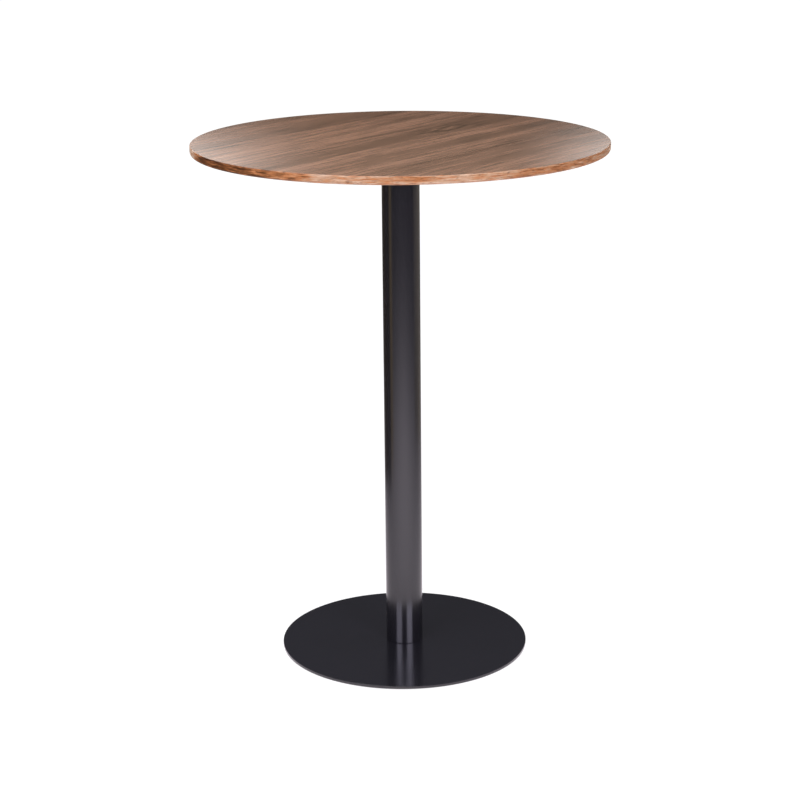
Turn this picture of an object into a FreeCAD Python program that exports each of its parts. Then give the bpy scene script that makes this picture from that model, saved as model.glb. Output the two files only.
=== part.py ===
"""Round bar-height pedestal table: a veneered top on one steel column and a flat steel base disc.

Frame: millimetres, +Z up, origin on the floor under the middle of the column.
The pieces stack from the floor up: rubber feet, base disc, column, spider, tabletop.
"""
import FreeCAD
import Part
import math
import os

Vector = FreeCAD.Vector

OUT_FOLDER = "parts"
ORIGIN = Vector(0, 0, 0)
UP = Vector(0, 0, 1)
FULL_TURN = 360.0
HEXAGON_SIDES = 6
SAME_PLACE = 1e-4

# Main sizes
TABLE_HEIGHT = 1040.0
TOP_DIAMETER = 810.0
TOP_THICKNESS = 16.0
COLUMN_DIAMETER = 74.0
BASE_DIAMETER = 500.0
BASE_THICKNESS = 6.0

# Tabletop: a board with a solid lipping round its rim, and a veneer over both on each face
FACE_VENEER = 0.6
BACKING_VENEER = 0.6
LIPPING_LAP = 4.0
LIPPING_UPPER_ROUND = 1.6
LIPPING_LOWER_ROUND = 5.0

# Column: a tube with a tapped disc welded into its lower end
COLUMN_WALL = 2.0
FLANGE_THICKNESS = 10.0
WELD_LEG = 5.0

# Spider: a flat cross, cut from plate, welded on the column and screwed to the top
SPIDER_THICKNESS = 6.0
SPIDER_SPAN = 440.0
SPIDER_ARMS = 4
SPIDER_ARM_WIDTH = 45.0
SPIDER_TIP_ROUND = 12.0
SPIDER_CORNER_ROUND = 14.0
SPIDER_HUB_MARGIN = 30.0
SPIDER_VENT_DIAMETER = 20.0

# Button-head screws, washers and threaded inserts that hold the top on the spider
TOP_SCREW_DIAMETER = 6.0
TOP_SCREW_HEAD_DIAMETER = 10.5
TOP_SCREW_HEAD_HEIGHT = 3.3
TOP_SCREW_CROWN_DIAMETER = 6.4
TOP_SCREW_DOME = 0.4
TOP_SCREW_SOCKET = 4.0
TOP_SCREW_SOCKET_DEPTH = 2.0
TOP_SCREW_ENGAGEMENT = 8.4
TOP_SCREW_TIP_INSET = 20.0
TOP_SCREW_PITCH = 90.0
TOP_SCREWS_PER_ARM = 2
WASHER_DIAMETER = 12.0
WASHER_THICKNESS = 1.6
INSERT_DIAMETER = 10.0
INSERT_COVER = 3.4

# Countersunk screws that hold the base disc on the column
BASE_SCREW_DIAMETER = 8.0
BASE_SCREW_HEAD_DIAMETER = 15.5
BASE_SCREW_SOCKET = 5.0
BASE_SCREW_SOCKET_DEPTH = 2.7
BASE_SCREW_EDGE = 14.0
BASE_SCREW_COUNT = 4

# Base disc and the feet stuck under it
BASE_ROUND = 0.8
FOOT_COUNT = 6
FOOT_DIAMETER = 30.0
FOOT_THICKNESS = 3.0
FOOT_ROUND = 0.8
FOOT_INSET = 30.0

# Radial clearances, and the share of a wall that its rounding may take
THREAD_CLEARANCE = 0.1
HOLE_CLEARANCE = 0.5
WASHER_CLEARANCE = 0.2
SEAT_CLEARANCE = 0.1
FLANGE_CLEARANCE = 0.1
INSERT_CLEARANCE = 0.05
ROUND_LIMIT = 0.45

# Levels, from the floor up
base_bottom = FOOT_THICKNESS
base_top = base_bottom + BASE_THICKNESS
flange_top = base_top + FLANGE_THICKNESS
top_bottom = TABLE_HEIGHT - TOP_THICKNESS
spider_bottom = top_bottom - SPIDER_THICKNESS
washer_bottom = spider_bottom - WASHER_THICKNESS
screw_head_bottom = washer_bottom - TOP_SCREW_HEAD_HEIGHT
screw_tip = top_bottom + TOP_SCREW_ENGAGEMENT
core_bottom = top_bottom + BACKING_VENEER
core_top = TABLE_HEIGHT - FACE_VENEER
insert_top = core_top - INSERT_COVER

# Radii and distances from the column's axis
top_radius = TOP_DIAMETER / 2
upper_round = min(LIPPING_UPPER_ROUND, ROUND_LIMIT * TOP_THICKNESS)
lower_round = min(LIPPING_LOWER_ROUND, ROUND_LIMIT * TOP_THICKNESS)
face_radius = top_radius - upper_round
backing_radius = top_radius - lower_round
core_radius = min(face_radius, backing_radius) - LIPPING_LAP
column_radius = COLUMN_DIAMETER / 2
bore_radius = column_radius - COLUMN_WALL
flange_radius = bore_radius - FLANGE_CLEARANCE
hub_radius = column_radius + SPIDER_HUB_MARGIN
arm_length = SPIDER_SPAN / 2
base_radius = BASE_DIAMETER / 2
base_screw_radius = BASE_SCREW_DIAMETER / 2
base_screw_head_radius = BASE_SCREW_HEAD_DIAMETER / 2
base_screw_circle = flange_radius - BASE_SCREW_EDGE
top_screw_radius = TOP_SCREW_DIAMETER / 2
insert_radius = INSERT_DIAMETER / 2
foot_circle = base_radius - FOOT_INSET


def disc(radius, bottom, top, x=0.0):
    """An upright cylinder between two levels, its axis at x."""
    return Part.makeCylinder(radius, top - bottom, Vector(x, 0, bottom))


def line(start, end):
    """A straight edge of an outline."""
    return Part.LineSegment(start, end).toShape()


def corner_arc(start, centre, end):
    """A quarter round of an outline, from start to end about its centre."""
    outward = (start + end) * 0.5 - centre
    radius = (start - centre).Length
    outward.normalize()
    return Part.Arc(start, centre + outward * radius, end).toShape()


def turned(edges):
    """The solid that a closed outline in the XZ plane sweeps about the Z axis."""
    return Part.Face(Part.Wire(edges)).revolve(ORIGIN, UP, FULL_TURN)


def eased_disc(radius, bottom, top, ease):
    """A disc whose outer edges are rounded."""
    ease = min(ease, ROUND_LIMIT * (top - bottom))
    low_middle = Vector(0, 0, bottom)
    low_outer = Vector(radius - ease, 0, bottom)
    low_centre = Vector(radius - ease, 0, bottom + ease)
    side_low = Vector(radius, 0, bottom + ease)
    side_high = Vector(radius, 0, top - ease)
    high_centre = Vector(radius - ease, 0, top - ease)
    high_outer = Vector(radius - ease, 0, top)
    high_middle = Vector(0, 0, top)
    return turned([
        line(low_middle, low_outer),
        corner_arc(low_outer, low_centre, side_low),
        line(side_low, side_high),
        corner_arc(side_high, high_centre, high_outer),
        line(high_outer, high_middle),
        line(high_middle, low_middle),
    ])


def hexagon_prism(across_flats, bottom, top, x):
    """The upright hexagon hole of a socket screw, its axis at x."""
    corner_radius = across_flats / 2 / math.cos(math.pi / HEXAGON_SIDES)
    corners = []
    for k in range(HEXAGON_SIDES + 1):
        angle = 2 * math.pi * k / HEXAGON_SIDES
        corners.append(Vector(x + corner_radius * math.cos(angle), corner_radius * math.sin(angle), bottom))
    return Part.Face(Part.makePolygon(corners)).extrude(UP * (top - bottom))


def turned_copy(shape, angle):
    """A copy of the shape, turned about the Z axis by an angle in degrees."""
    copy = shape.copy()
    copy.rotate(ORIGIN, UP, angle)
    return copy


def spread(shape, count):
    """Copies of the shape, evenly spaced about the Z axis."""
    return [turned_copy(shape, FULL_TURN * k / count) for k in range(count)]


def at_top_screws(make):
    """What make(x) builds, at every place where a screw holds the top."""
    outer = arm_length - TOP_SCREW_TIP_INSET
    places = [outer - TOP_SCREW_PITCH * k for k in range(TOP_SCREWS_PER_ARM)]
    return [copy for x in places for copy in spread(make(x), SPIDER_ARMS)]


def upright_edges(plate, wanted):
    """The vertical edges of a flat plate whose place in plan is wanted."""
    found = []
    for edge in plate.Edges:
        box = edge.BoundBox
        upright = max(box.XLength, box.YLength) < SAME_PLACE < box.ZLength
        if upright and wanted(edge.CenterOfMass):
            found.append(edge)
    return found


def tabletop_core():
    """The board, with a blind hole for each threaded insert."""
    board = disc(core_radius, core_bottom, core_top)
    holes = at_top_screws(lambda x: disc(insert_radius + INSERT_CLEARANCE, core_bottom, insert_top, x))
    return board.cut(holes)


def face_veneer():
    """The walnut leaf on the upper face, over the board and its lipping."""
    return disc(face_radius, core_top, TABLE_HEIGHT)


def backing_veneer():
    """The leaf on the underside, drilled where the inserts go in."""
    leaf = disc(backing_radius, top_bottom, core_bottom)
    holes = at_top_screws(lambda x: disc(insert_radius + INSERT_CLEARANCE, top_bottom, core_bottom, x))
    return leaf.cut(holes)


def edge_lipping():
    """The walnut band round the rim: eased above, well rounded below, and rebated for the veneers."""
    under_board = Vector(core_radius, 0, core_bottom)
    under_rebate = Vector(backing_radius, 0, core_bottom)
    under_edge = Vector(backing_radius, 0, top_bottom)
    under_centre = Vector(backing_radius, 0, top_bottom + lower_round)
    side_low = Vector(top_radius, 0, top_bottom + lower_round)
    side_high = Vector(top_radius, 0, TABLE_HEIGHT - upper_round)
    face_centre = Vector(face_radius, 0, TABLE_HEIGHT - upper_round)
    face_edge = Vector(face_radius, 0, TABLE_HEIGHT)
    face_rebate = Vector(face_radius, 0, core_top)
    over_board = Vector(core_radius, 0, core_top)
    return turned([
        line(under_board, under_rebate),
        line(under_rebate, under_edge),
        corner_arc(under_edge, under_centre, side_low),
        line(side_low, side_high),
        corner_arc(side_high, face_centre, face_edge),
        line(face_edge, face_rebate),
        line(face_rebate, over_board),
        line(over_board, under_board),
    ])


def threaded_insert(x):
    """A sleeve nut set flush in the underside of the board."""
    body = disc(insert_radius, top_bottom, insert_top, x)
    return body.cut(disc(top_screw_radius + THREAD_CLEARANCE, top_bottom, insert_top, x))


def top_screw(x):
    """A button-head socket screw, driven up through the spider into its insert."""
    middle_high = Vector(0, 0, washer_bottom)
    rim = Vector(TOP_SCREW_HEAD_DIAMETER / 2, 0, washer_bottom)
    crown = Vector(TOP_SCREW_CROWN_DIAMETER / 2, 0, screw_head_bottom)
    dome = (rim + crown) * 0.5 + Vector(TOP_SCREW_DOME, 0, -TOP_SCREW_DOME)
    middle_low = Vector(0, 0, screw_head_bottom)
    head = turned([
        line(middle_high, rim),
        Part.Arc(rim, dome, crown).toShape(),
        line(crown, middle_low),
        line(middle_low, middle_high),
    ])
    head.translate(Vector(x, 0, 0))
    socket_top = screw_head_bottom + TOP_SCREW_SOCKET_DEPTH
    socket = hexagon_prism(TOP_SCREW_SOCKET, screw_head_bottom, socket_top, x)
    shank = disc(top_screw_radius, washer_bottom, screw_tip, x)
    return head.cut(socket).fuse(shank).removeSplitter()


def washer(x):
    """A flat washer between a screw's head and the spider."""
    ring = disc(WASHER_DIAMETER / 2, washer_bottom, spider_bottom, x)
    return ring.cut(disc(top_screw_radius + WASHER_CLEARANCE, washer_bottom, spider_bottom, x))


def spider_arm():
    """One arm of the cross, from the column's axis out to its rounded tip."""
    corner = Vector(0, -SPIDER_ARM_WIDTH / 2, spider_bottom)
    arm = Part.makeBox(arm_length, SPIDER_ARM_WIDTH, SPIDER_THICKNESS, corner)
    tips = upright_edges(arm, lambda place: place.x > arm_length - SAME_PLACE)
    return arm.makeFillet(min(SPIDER_TIP_ROUND, ROUND_LIMIT * SPIDER_ARM_WIDTH), tips)


def mounting_spider():
    """The cross-shaped plate with its hub, vent hole and screw holes."""
    hub = disc(hub_radius, spider_bottom, top_bottom)
    cross = hub.multiFuse(spread(spider_arm(), SPIDER_ARMS)).removeSplitter()
    corners = upright_edges(cross, lambda place: abs(math.hypot(place.x, place.y) - hub_radius) < SAME_PLACE)
    plate = cross.makeFillet(SPIDER_CORNER_ROUND, corners)
    holes = at_top_screws(lambda x: disc(top_screw_radius + HOLE_CLEARANCE, spider_bottom, top_bottom, x))
    vent = disc(SPIDER_VENT_DIAMETER / 2, spider_bottom, top_bottom)
    return plate.cut(holes + [vent])


def column_tube():
    """The round steel tube that stands on the base disc and carries the spider."""
    return disc(column_radius, base_top, spider_bottom).cut(disc(bore_radius, base_top, spider_bottom))


def column_weld():
    """The fillet weld between the column's upper end and the spider."""
    root = Vector(column_radius, 0, spider_bottom)
    plate_toe = Vector(column_radius + WELD_LEG, 0, spider_bottom)
    tube_toe = Vector(column_radius, 0, spider_bottom - WELD_LEG)
    return turned([line(root, plate_toe), line(plate_toe, tube_toe), line(tube_toe, root)])


def foot_flange():
    """The thick disc welded flush inside the column's lower end, tapped for the base screws."""
    plug = disc(flange_radius, base_top, flange_top)
    hole = disc(base_screw_radius + THREAD_CLEARANCE, base_top, flange_top, base_screw_circle)
    return plug.cut(spread(hole, BASE_SCREW_COUNT))


def countersunk(shank_radius, head_radius, top):
    """A right-angled countersunk head and its shank, from the underside of the base disc up."""
    place = Vector(base_screw_circle, 0, base_bottom)
    cone = Part.makeCone(head_radius, shank_radius, head_radius - shank_radius, place, UP)
    shank = disc(shank_radius, base_bottom, top, base_screw_circle)
    return cone.fuse(shank).removeSplitter()


def base_screw():
    """A countersunk socket screw, flush with the underside of the base disc."""
    body = countersunk(base_screw_radius, base_screw_head_radius, flange_top)
    socket_top = base_bottom + BASE_SCREW_SOCKET_DEPTH
    return body.cut(hexagon_prism(BASE_SCREW_SOCKET, base_bottom, socket_top, base_screw_circle))


def base_plate():
    """The flat steel disc that the column stands on, countersunk from below."""
    plate = eased_disc(base_radius, base_bottom, base_top, BASE_ROUND)
    hole_radius = base_screw_radius + HOLE_CLEARANCE
    hole = countersunk(hole_radius, base_screw_head_radius + SEAT_CLEARANCE, base_top)
    return plate.cut(spread(hole, BASE_SCREW_COUNT))


def rubber_feet():
    """The round feet stuck under the base disc, evenly spaced near its rim."""
    foot = eased_disc(FOOT_DIAMETER / 2, 0.0, base_bottom, FOOT_ROUND)
    foot.translate(Vector(foot_circle, 0, 0))
    half_step = FULL_TURN / FOOT_COUNT / 2
    return spread(turned_copy(foot, half_step), FOOT_COUNT)


def table_parts():
    """Every piece of the table, by the name of its node."""
    parts = {
        "tabletop_core": tabletop_core(),
        "face_veneer": face_veneer(),
        "backing_veneer": backing_veneer(),
        "edge_lipping": edge_lipping(),
        "threaded_inserts": Part.makeCompound(at_top_screws(threaded_insert)),
        "mounting_spider": mounting_spider(),
        "spider_screws": Part.makeCompound(at_top_screws(top_screw)),
        "spider_washers": Part.makeCompound(at_top_screws(washer)),
        "column_tube": column_tube(),
        "column_weld": column_weld(),
        "foot_flange": foot_flange(),
        "base_plate": base_plate(),
        "base_screws": Part.makeCompound(spread(base_screw(), BASE_SCREW_COUNT)),
    }
    for number, foot in enumerate(rubber_feet(), start=1):
        parts[f"rubber_foot_{number}"] = foot
    return parts


def main():
    """Writes one STEP file for each piece and prints what it holds."""
    os.makedirs(OUT_FOLDER, exist_ok=True)
    for name, shape in table_parts().items():
        shape.exportStep(os.path.join(OUT_FOLDER, f"{name}.step"))
        print(f"{name}: {len(shape.Solids)} solid(s), {shape.Volume:.0f} mm3, valid {shape.isValid()}")


main()
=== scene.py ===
"""Dresses a round bar-height pedestal table: a walnut top on a black steel column and base disc.

Everything is in metres, +Z up, with the origin on the floor under the middle of the column. Only the patterns
of the finishes are given in millimetres.
"""
import functools
import logging
import math
from dataclasses import dataclass, field
from enum import Enum

import bmesh
import bpy
from bpy.types import ID, Material, Mesh, NodeSocket, NodeTree, Object, bpy_prop_collection
from mathutils import Matrix, Vector


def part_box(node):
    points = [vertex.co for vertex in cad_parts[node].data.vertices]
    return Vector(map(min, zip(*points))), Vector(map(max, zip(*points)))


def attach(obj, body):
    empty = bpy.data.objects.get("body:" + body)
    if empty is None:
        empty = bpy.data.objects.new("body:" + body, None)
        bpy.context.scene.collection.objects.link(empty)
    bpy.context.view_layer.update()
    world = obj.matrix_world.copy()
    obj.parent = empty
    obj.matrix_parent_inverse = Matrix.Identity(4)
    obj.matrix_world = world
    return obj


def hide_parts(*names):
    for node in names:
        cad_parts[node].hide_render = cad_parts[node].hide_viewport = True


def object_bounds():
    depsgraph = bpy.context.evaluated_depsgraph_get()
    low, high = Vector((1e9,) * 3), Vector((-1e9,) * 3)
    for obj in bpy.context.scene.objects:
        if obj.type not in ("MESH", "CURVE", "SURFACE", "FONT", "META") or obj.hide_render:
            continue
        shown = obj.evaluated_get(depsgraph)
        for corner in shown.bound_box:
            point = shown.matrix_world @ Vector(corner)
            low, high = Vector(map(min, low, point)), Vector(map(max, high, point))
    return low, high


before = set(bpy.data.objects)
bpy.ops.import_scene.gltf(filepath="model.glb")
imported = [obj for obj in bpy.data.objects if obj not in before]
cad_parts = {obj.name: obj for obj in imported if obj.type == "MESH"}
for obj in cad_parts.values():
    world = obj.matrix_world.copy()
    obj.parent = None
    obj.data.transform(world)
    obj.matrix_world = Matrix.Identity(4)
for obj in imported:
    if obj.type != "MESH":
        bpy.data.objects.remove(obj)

CAD_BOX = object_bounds()
TOP_RADIUS = CAD_BOX[1][0]
TABLE_TOP = CAD_BOX[1][2]
BODY = "root"
MM = 0.001
FULL_TURN = 2 * math.pi
FULL_TURN_DEGREES = 360
HEXAGON_SIDES = 6
SAME_PLACE = 1e-6
SHARP_ANGLE = math.radians(38)
IMAGE_SIDE = 800
WHITE = "#FFFFFF"
BLACK = "#000000"

MATH = "ShaderNodeMath"
VECTOR = "ShaderNodeVectorMath"
NOISE = "ShaderNodeTexNoise"
RANGE = "ShaderNodeMapRange"
RAMP = "ShaderNodeValToRGB"
MIX = "ShaderNodeMix"
SPLIT = "ShaderNodeSeparateXYZ"
JOIN = "ShaderNodeCombineXYZ"
COORDINATES = "ShaderNodeTexCoord"
MAPPING = "ShaderNodeMapping"
BUMP = "ShaderNodeBump"
LIGHT_PATH = "ShaderNodeLightPath"
EMISSION = "ShaderNodeEmission"
SURFACE = "ShaderNodeOutputMaterial"
SAMPLE = "GeometryNodeSampleIndex"
INDEX = "GeometryNodeInputIndex"
SET_POSITION = "GeometryNodeSetPosition"
# Numbers of a mix node's sockets for colours, and of a random value node's for plain numbers
COLOUR_A, COLOUR_B, COLOUR_MIX = 6, 7, 2
CHANCE_LEAST, CHANCE_MOST, CHANCE = 2, 3, 1

log = logging.getLogger("pedestal_table")

Point = tuple[float, float]
Place = tuple[float, float, float]
Stops = tuple[tuple[float, str], ...]
Sockets = dict[str | int, object] | tuple[object, ...]
Painted = dict[str, NodeSocket]
Corners = tuple[list[Place], list[tuple[int, ...]]]


class Input(Enum):
    """Kinds of named input that a shape tree takes."""

    COUNT = "NodeSocketInt"
    LENGTH = "NodeSocketFloat"
    FINISH = "NodeSocketMaterial"
    GEOMETRY = "NodeSocketGeometry"


def linear(colour: str) -> tuple[float, float, float, float]:
    """Turns an sRGB hex colour to linear light, by the standard's own numbers.

    Args:
        colour: A hash sign and six hex digits.

    Returns:
        Red, green, blue and a full alpha, as a shader's socket takes them.
    """
    parts = [int(colour[k:k + 2], 16) / 255 for k in (1, 3, 5)]
    red, green, blue = [p / 12.92 if p <= 0.04045 else ((p + 0.055) / 1.055) ** 2.4 for p in parts]
    return red, green, blue, 1.0


def add_node(tree: NodeTree, kind: str, sockets: Sockets = (), out: str | int = 0, stops: Stops = (),
             **settings: object) -> NodeSocket | None:
    """Adds a node to a tree with its settings, values and links.

    Args:
        tree: The tree that the node goes into.
        kind: Blender's name for the kind of node.
        sockets: A value, or an output to link from, for each input: in order, or by name or number.
        out: The output that the caller goes on from.
        stops: Places and hex colours of a colour ramp.
        settings: The node's own properties.

    Returns:
        The chosen output, or None for a node that has none.
    """
    node = tree.nodes.new(kind)
    for name, value in settings.items():
        setattr(node, name, value)
    for key, value in (sockets.items() if isinstance(sockets, dict) else enumerate(sockets)):
        if isinstance(value, NodeSocket):
            tree.links.new(value, node.inputs[key])
        else:
            node.inputs[key].default_value = value
    if stops:
        elements = node.color_ramp.elements
        elements.remove(elements[1])
        elements[0].position = stops[0][0]
        for place, _ in stops[1:]:
            elements.new(place)
        for element, (_, colour) in zip(elements, stops):
            element.color = linear(colour)
    return node.outputs[out] if node.outputs else None


def placed(name: str, data: ID) -> Object:
    """Adds an object to the scene.

    Args:
        name: Its name.
        data: Its mesh, curve, lamp or camera.

    Returns:
        The object, at the origin.
    """
    thing = bpy.data.objects.new(name, data)
    bpy.context.scene.collection.objects.link(thing)
    return thing


def bare_material(name: str) -> Material:
    """Makes a material whose tree is still empty.

    Args:
        name: Its name.

    Returns:
        The material.
    """
    material = bpy.data.materials.new(name)
    material.use_nodes = True
    material.node_tree.nodes.clear()
    return material


def arc(centre: Point, radius: float, start: float, end: float, steps: int = 8) -> list[Point]:
    """Points along a round stretch of an outline.

    Args:
        centre: Middle of the round.
        radius: Its radius.
        start: Angle of the first point, in degrees.
        end: Angle of the last point, in degrees.
        steps: Number of straight steps that draw it.

    Returns:
        The points, with both ends.
    """
    angles = [math.radians(start + (end - start) * k / steps) for k in range(steps + 1)]
    return [(centre[0] + radius * math.cos(a), centre[1] + radius * math.sin(a)) for a in angles]


@dataclass
class Outline:
    """Half a section of a turned piece: radius and height of each point, from start to end.

    A point may be marked as the flat of a hexagon, or as part of a rippled bead: how far it swells there, and
    how far its ripples lag behind the middle of the bead.
    """

    points: list[Point] = field(default_factory=list)
    hexagon: list[float] = field(default_factory=list)
    swell: list[float] = field(default_factory=list)
    lag: list[float] = field(default_factory=list)

    def to(self, *points: Point, hexagon: float = 0.0, swell: float = 0.0, lag: float = 0.0) -> "Outline":
        """Goes on to more points.

        Args:
            points: Radius and height of each.
            hexagon: One where the points lie on a hexagon's flats, and otherwise zero.
            swell: Share of the ripples' depth that the points take.
            lag: Share of a ripple by which the points lag.

        Returns:
            The outline itself.
        """
        for point in points:
            self.points.append(point)
            self.hexagon.append(hexagon)
            self.swell.append(swell)
            self.lag.append(lag)
        return self

    def closed(self) -> "Outline":
        """Goes back to the first point, as round a ring's section."""
        return self.to(self.points[0], hexagon=self.hexagon[0], swell=self.swell[0], lag=self.lag[0])

    def mesh(self, name: str) -> Mesh:
        """Makes a mesh of the outline's points, with their marks as attributes.

        Args:
            name: Name of the mesh.

        Returns:
            A mesh of points in order, in the XZ plane.
        """
        mesh = bpy.data.meshes.new(name)
        mesh.from_pydata([(r, 0.0, z) for r, z in self.points], [], [])
        for label in ("hexagon", "swell", "lag"):
            marks = mesh.attributes.new(label, "FLOAT", "POINT")
            marks.data.foreach_set("value", getattr(self, label))
        return mesh


class ShapeTree:
    """A tree of geometry nodes with named inputs, which shapes a piece and gives it its finish."""

    name: str = "shape"
    inputs: dict[str, Input] = {}

    def __init__(self) -> None:
        """Makes the tree, its sockets and the nodes that every tree ends in."""
        self.tree = bpy.data.node_groups.new(self.name, "GeometryNodeTree")
        sockets = {"Geometry": Input.GEOMETRY, **self.inputs, "Material": Input.FINISH}
        for label, kind in sockets.items():
            self.tree.interface.new_socket(label, in_out="INPUT", socket_type=kind.value)
        self.tree.interface.new_socket("Geometry", in_out="OUTPUT", socket_type=Input.GEOMETRY.value)
        given = self.tree.nodes.new("NodeGroupInput").outputs
        shaped = self.shape(given)
        real = add_node(self.tree, "GeometryNodeRealizeInstances", {"Geometry": shaped})
        dressed = add_node(self.tree, "GeometryNodeSetMaterial", {
            "Geometry": real, "Material": given["Material"]})
        add_node(self.tree, "NodeGroupOutput", {"Geometry": dressed})

    def shape(self, given: bpy_prop_collection) -> NodeSocket:
        """Fills the tree and returns its geometry; each kind of shape has its own."""
        raise NotImplementedError

    def add_to(self, piece: Object, values: dict[str, object]) -> None:
        """Puts the tree on a piece as a modifier.

        Args:
            piece: The piece to shape.
            values: A value for each named input.
        """
        modifier = piece.modifiers.new(self.name, "NODES")
        modifier.node_group = self.tree
        for item in self.tree.interface.items_tree:
            if item.in_out == "INPUT" and item.name in values:
                modifier[item.identifier] = values[item.name]


class TurnedTree(ShapeTree):
    """Turns an outline about the Z axis, as a lathe does, with its hexagon flats and bead ripples."""

    name = "turned_piece"
    inputs = {"Segments": Input.COUNT, "Ripples": Input.COUNT, "Ripple Depth": Input.LENGTH}

    def shape(self, given: bpy_prop_collection) -> NodeSocket:
        """Wraps a grid round the axis, one column of it for each place of the outline.

        Args:
            given: The tree's inputs.

        Returns:
            The closed, smooth-shaded mesh.
        """
        tree = self.tree
        outline = given["Geometry"]
        count = add_node(tree, "GeometryNodeAttributeDomainSize", {"Geometry": outline}, out="Point Count")
        around = add_node(tree, MATH, (given["Segments"], 1.0), operation="ADD")
        grid = add_node(tree, "GeometryNodeMeshGrid", {"Vertices X": around, "Vertices Y": count}, out="Mesh")
        index = add_node(tree, INDEX)
        # Half a step more keeps the rounding of a whole number from falling a column short
        inside = add_node(tree, MATH, (index, 0.5), operation="ADD")
        columns = add_node(tree, MATH, (inside, count), operation="DIVIDE")
        column = add_node(tree, MATH, (columns,), operation="FLOOR")
        first = add_node(tree, MATH, (column, count), operation="MULTIPLY")
        row = add_node(tree, MATH, (index, first), operation="SUBTRACT")
        step = add_node(tree, MATH, (FULL_TURN, given["Segments"]), operation="DIVIDE")
        angle = add_node(tree, MATH, (column, step), operation="MULTIPLY")

        position = add_node(tree, "GeometryNodeInputPosition")
        place = add_node(tree, SAMPLE, {"Geometry": outline, "Value": position, "Index": row},
                         data_type="FLOAT_VECTOR")
        radius, _, height = add_node(tree, SPLIT, (place,)).node.outputs
        marks = {}
        for label in ("hexagon", "swell", "lag"):
            mark = add_node(tree, "GeometryNodeInputNamedAttribute", {"Name": label}, data_type="FLOAT")
            marks[label] = add_node(tree, SAMPLE, {"Geometry": outline, "Value": mark, "Index": row},
                                    data_type="FLOAT")

        # A hexagon's flat falls back from its corners as one over the cosine of the angle off its middle
        side = FULL_TURN / HEXAGON_SIDES
        along_side = add_node(tree, MATH, (angle, side), operation="FLOORED_MODULO")
        off_middle = add_node(tree, MATH, (along_side, side / 2), operation="SUBTRACT")
        cosine = add_node(tree, MATH, (off_middle,), operation="COSINE")
        reach = add_node(tree, MATH, (1.0, cosine), operation="DIVIDE")
        extra = add_node(tree, MATH, (reach, 1.0), operation="SUBTRACT")
        flats = add_node(tree, MATH, (marks["hexagon"], extra, 1.0), operation="MULTIPLY_ADD")
        outward = add_node(tree, MATH, (radius, flats), operation="MULTIPLY")

        # Ripples are half waves that meet in grooves, and lag towards both toes of the bead
        turns = add_node(tree, MATH, (angle, given["Ripples"]), operation="MULTIPLY")
        waves = add_node(tree, MATH, (turns, 1 / FULL_TURN, marks["lag"]), operation="MULTIPLY_ADD")
        phase = add_node(tree, MATH, (waves,), operation="FRACT")
        half_turn = add_node(tree, MATH, (phase, FULL_TURN / 2), operation="MULTIPLY")
        crest = add_node(tree, MATH, (half_turn,), operation="SINE")
        depth = add_node(tree, MATH, (marks["swell"], given["Ripple Depth"]), operation="MULTIPLY")
        ripple = add_node(tree, MATH, (crest, depth), operation="MULTIPLY")
        out = add_node(tree, MATH, (outward, ripple), operation="ADD")
        level = add_node(tree, MATH, (height, ripple), operation="SUBTRACT")

        along_x = add_node(tree, MATH, (angle,), operation="COSINE")
        along_y = add_node(tree, MATH, (angle,), operation="SINE")
        x = add_node(tree, MATH, (out, along_x), operation="MULTIPLY")
        y = add_node(tree, MATH, (out, along_y), operation="MULTIPLY")
        turned_place = add_node(tree, JOIN, (x, y, level))
        wrapped = add_node(tree, SET_POSITION, {"Geometry": grid, "Position": turned_place})
        merged = add_node(tree, "GeometryNodeMergeByDistance", {"Geometry": wrapped, "Distance": SAME_PLACE})
        return add_node(tree, "GeometryNodeSetShadeSmooth", {"Geometry": merged})


class RingTree(ShapeTree):
    """Sets copies of a piece round the Z axis, on one ring or more, each with its own chance turn."""

    name = "ring_of_pieces"
    inputs = {"Count": Input.COUNT, "Rings": Input.COUNT, "Outer Radius": Input.LENGTH,
              "Ring Step": Input.LENGTH, "First Angle": Input.LENGTH, "Chance Turn": Input.LENGTH,
              "Seed": Input.COUNT}

    def shape(self, given: bpy_prop_collection) -> NodeSocket:
        """Puts a point at each place and a copy of the piece on each point.

        Args:
            given: The tree's inputs.

        Returns:
            The copies, as instances.
        """
        tree = self.tree
        total = add_node(tree, MATH, (given["Count"], given["Rings"]), operation="MULTIPLY")
        points = add_node(tree, "GeometryNodePoints", {"Count": total})
        index = add_node(tree, INDEX)
        inside = add_node(tree, MATH, (index, 0.5), operation="ADD")
        rings = add_node(tree, MATH, (inside, given["Count"]), operation="DIVIDE")
        ring = add_node(tree, MATH, (rings,), operation="FLOOR")
        step = add_node(tree, MATH, (FULL_TURN, given["Count"]), operation="DIVIDE")
        angle = add_node(tree, MATH, (index, step, given["First Angle"]), operation="MULTIPLY_ADD")
        inward = add_node(tree, MATH, (ring, given["Ring Step"]), operation="MULTIPLY")
        radius = add_node(tree, MATH, (given["Outer Radius"], inward), operation="SUBTRACT")
        along_x = add_node(tree, MATH, (angle,), operation="COSINE")
        along_y = add_node(tree, MATH, (angle,), operation="SINE")
        x = add_node(tree, MATH, (radius, along_x), operation="MULTIPLY")
        y = add_node(tree, MATH, (radius, along_y), operation="MULTIPLY")
        place = add_node(tree, JOIN, (x, y))
        spread = add_node(tree, SET_POSITION, {"Geometry": points, "Position": place})
        chance = add_node(tree, "FunctionNodeRandomValue", {
            CHANCE_LEAST: 0.0, CHANCE_MOST: 1.0, "Seed": given["Seed"]}, out=CHANCE, data_type="FLOAT")
        turn = add_node(tree, MATH, (chance, given["Chance Turn"], angle), operation="MULTIPLY_ADD")
        rotation = add_node(tree, JOIN, {"Z": turn})
        return add_node(tree, "GeometryNodeInstanceOnPoints", {
            "Points": spread, "Instance": given["Geometry"], "Rotation": rotation})


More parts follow.
